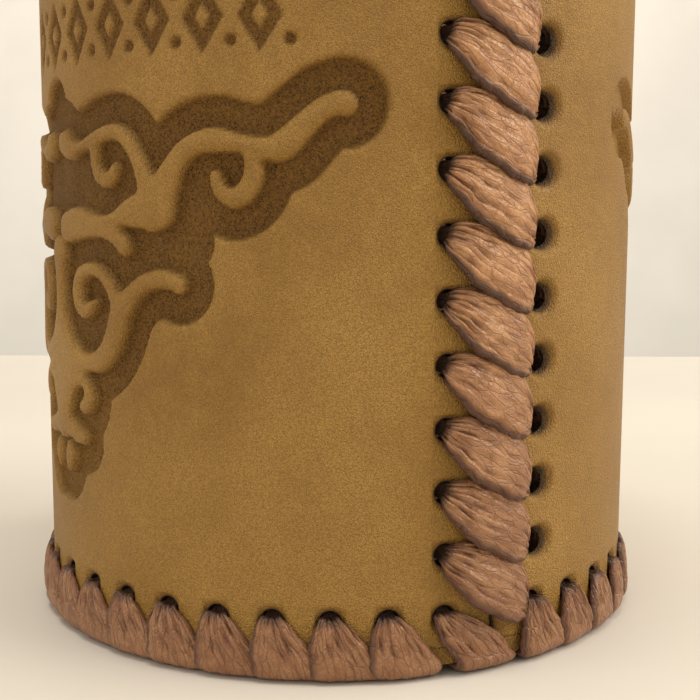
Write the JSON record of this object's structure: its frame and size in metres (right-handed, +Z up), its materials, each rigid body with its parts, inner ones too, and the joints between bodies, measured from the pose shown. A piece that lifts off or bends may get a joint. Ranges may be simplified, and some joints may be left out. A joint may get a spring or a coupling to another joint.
{
  "type": "leather dice cup",
  "caption": "Round open dice cup of thick leather: two curved wall panels laced down both seams, whipped to a base disc, with a laced rim and a floor pad.",
  "frame": {"origin": "middle of the base on the surface the cup stands on", "axes": "+Z up along the cup's axis towards the open rim; the middle of the decorated front panel faces -Y; the laced seams are at +X and -X"},
  "size_m": [0.0866, 0.0866, 0.098],
  "materials": {
    "wall_leather": "thick olive-ochre vegetable-tanned leather, fine pebble grain, satin",
    "base_leather": "thick vegetable-tanned leather, flesh side up, matt",
    "lace_leather": "soft pinkish-tan lacing leather, creased, satin",
    "pad_suede": "dark brown suede, matt"
  },
  "bodies": {
    "root": {"wall_panel_front": "wall_leather", "wall_panel_rear": "wall_leather", "base_disc": "base_leather", "floor_pad": "pad_suede", "seam_lace_right": "lace_leather", "seam_lace_left": "lace_leather", "base_lace": "lace_leather", "rim_lace": "lace_leather"}
  },
  "joints": []
}
